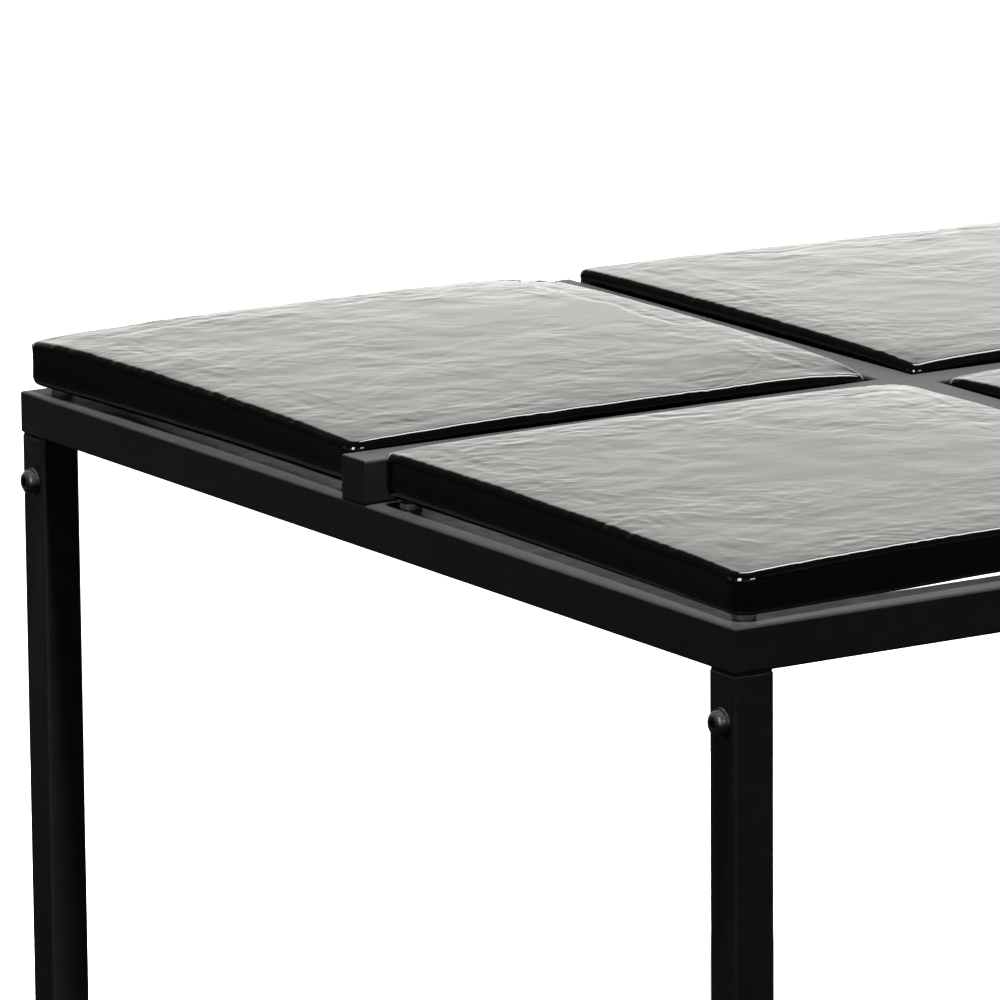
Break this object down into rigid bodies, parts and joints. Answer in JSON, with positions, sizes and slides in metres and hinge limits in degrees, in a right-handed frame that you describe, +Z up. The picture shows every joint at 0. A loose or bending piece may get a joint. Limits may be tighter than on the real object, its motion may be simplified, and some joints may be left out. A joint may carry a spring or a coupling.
{
  "type": "coffee table",
  "caption": "Low square table: black square-tube steel frame on bolted legs, with a cross of dividers and thick black cast glass tiles resting on clear bumpers.",
  "frame": {"origin": "on the floor, under the middle of the table", "axes": "+Z up, X and Y along the frame's sides, -Y the front"},
  "size_m": [0.762, 0.75, 0.457],
  "materials": {
    "powder_coat": "satin black powder coat with a fine texture",
    "black_steel": "black oxide steel, satin",
    "zinc_steel": "zinc plated steel",
    "black_plastic": "moulded black plastic",
    "clear_silicone": "clear soft silicone, glossy",
    "cast_glass": "black cast glass with a rippled fire-polished top"
  },
  "bodies": {
    "frame": {"front_rail": "powder_coat", "right_rail": "powder_coat", "back_rail": "powder_coat", "left_rail": "powder_coat", "divider_long": "powder_coat", "divider_front_half": "powder_coat", "divider_back_half": "powder_coat", "divider_cap_left": "powder_coat", "divider_cap_front": "powder_coat", "divider_cap_right": "powder_coat", "divider_cap_back": "powder_coat", "centre_plate": "powder_coat", "leg_spigot_front_left": "powder_coat", "weld_nut_front_left": "zinc_steel", "leg_front_left": "powder_coat", "leg_washer_front_left": "black_steel", "leg_bolt_front_left": "black_steel", "leg_plug_front_left": "black_plastic", "tile_bumpers_front_left": "clear_silicone", "leg_spigot_front_right": "powder_coat", "weld_nut_front_right": "zinc_steel", "leg_front_right": "powder_coat", "leg_washer_front_right": "black_steel", "leg_bolt_front_right": "black_steel", "leg_plug_front_right": "black_plastic", "tile_bumpers_front_right": "clear_silicone", "leg_spigot_back_left": "powder_coat", "weld_nut_back_left": "zinc_steel", "leg_back_left": "powder_coat", "leg_washer_back_left": "black_steel", "leg_bolt_back_left": "black_steel", "leg_plug_back_left": "black_plastic", "tile_bumpers_back_left": "clear_silicone", "leg_spigot_back_right": "powder_coat", "weld_nut_back_right": "zinc_steel", "leg_back_right": "powder_coat", "leg_washer_back_right": "black_steel", "leg_bolt_back_right": "black_steel", "leg_plug_back_right": "black_plastic", "tile_bumpers_back_right": "clear_silicone"},
    "tile_front_left": {"glass_tile_front_left": "cast_glass"},
    "tile_front_right": {"glass_tile_front_right": "cast_glass"},
    "tile_back_left": {"glass_tile_back_left": "cast_glass"},
    "tile_back_right": {"glass_tile_back_right": "cast_glass"},
    "foot_front_left": {"levelling_stud_front_left": "zinc_steel", "levelling_pad_front_left": "black_plastic"},
    "foot_front_right": {"levelling_stud_front_right": "zinc_steel", "levelling_pad_front_right": "black_plastic"},
    "foot_back_left": {"levelling_stud_back_left": "zinc_steel", "levelling_pad_back_left": "black_plastic"},
    "foot_back_right": {"levelling_stud_back_right": "zinc_steel", "levelling_pad_back_right": "black_plastic"}
  },
  "joints": [
    {"name": "tile_lift_front_left", "type": "slide", "parent": "frame", "child": "tile_front_left", "axis": [0, 0, 1], "range_m": [0, 0.06]},
    {"name": "tile_lift_front_right", "type": "slide", "parent": "frame", "child": "tile_front_right", "axis": [0, 0, 1], "range_m": [0, 0.06]},
    {"name": "tile_lift_back_left", "type": "slide", "parent": "frame", "child": "tile_back_left", "axis": [0, 0, 1], "range_m": [0, 0.06]},
    {"name": "tile_lift_back_right", "type": "slide", "parent": "frame", "child": "tile_back_right", "axis": [0, 0, 1], "range_m": [0, 0.06]},
    {"name": "foot_adjust_front_left", "type": "slide", "parent": "frame", "child": "foot_front_left", "axis": [0, 0, -1], "range_m": [0, 0.01]},
    {"name": "foot_adjust_front_right", "type": "slide", "parent": "frame", "child": "foot_front_right", "axis": [0, 0, -1], "range_m": [0, 0.01]},
    {"name": "foot_adjust_back_left", "type": "slide", "parent": "frame", "child": "foot_back_left", "axis": [0, 0, -1], "range_m": [0, 0.01]},
    {"name": "foot_adjust_back_right", "type": "slide", "parent": "frame", "child": "foot_back_right", "axis": [0, 0, -1], "range_m": [0, 0.01]}
  ]
}
